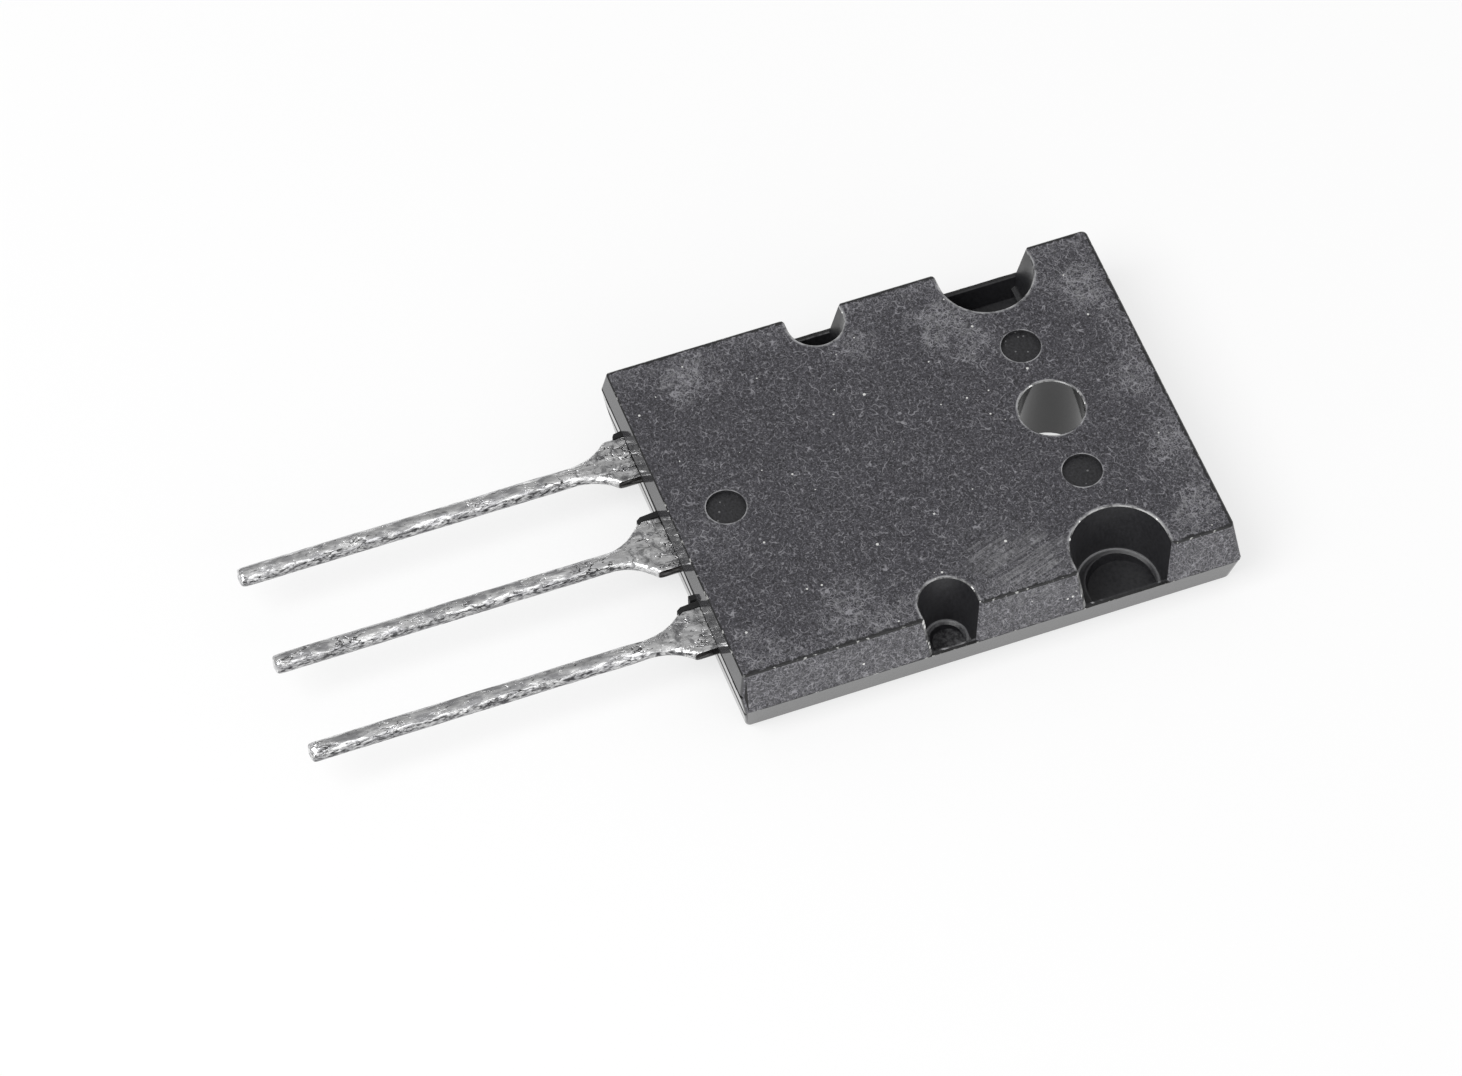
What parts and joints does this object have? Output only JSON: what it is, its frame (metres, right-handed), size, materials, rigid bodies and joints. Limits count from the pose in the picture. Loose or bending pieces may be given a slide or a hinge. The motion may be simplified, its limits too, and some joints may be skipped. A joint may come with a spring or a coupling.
{
  "type": "power transistor",
  "caption": "Flat plastic power transistor with a bare metal back, a screw hole, side notches and a row of straight tinned leads.",
  "frame": {"origin": "centre of the screw hole at the bare back face", "axes": "+Z out of the face, +Y towards the screw-hole end, leads run to -Y, +X across the width with the emitter lead on +X"},
  "size_m": [0.0204, 0.0464, 0.0048],
  "materials": {
    "moulding_compound": "matt, fine spark texture",
    "plated_copper": "satin nickel plate",
    "tinned_lead": "hot-dipped tin, mottled",
    "silicon": "polished",
    "solder": "dull",
    "bond_wire": "satin"
  },
  "bodies": {
    "root": {"moulded_body": "moulding_compound", "heat_spreader": "plated_copper", "base_lead": "tinned_lead", "collector_lead": "tinned_lead", "emitter_lead": "tinned_lead", "silicon_die": "silicon", "die_solder": "solder", "base_bond_wire": "bond_wire", "emitter_bond_wire_1": "bond_wire", "emitter_bond_wire_2": "bond_wire"}
  },
  "joints": []
}
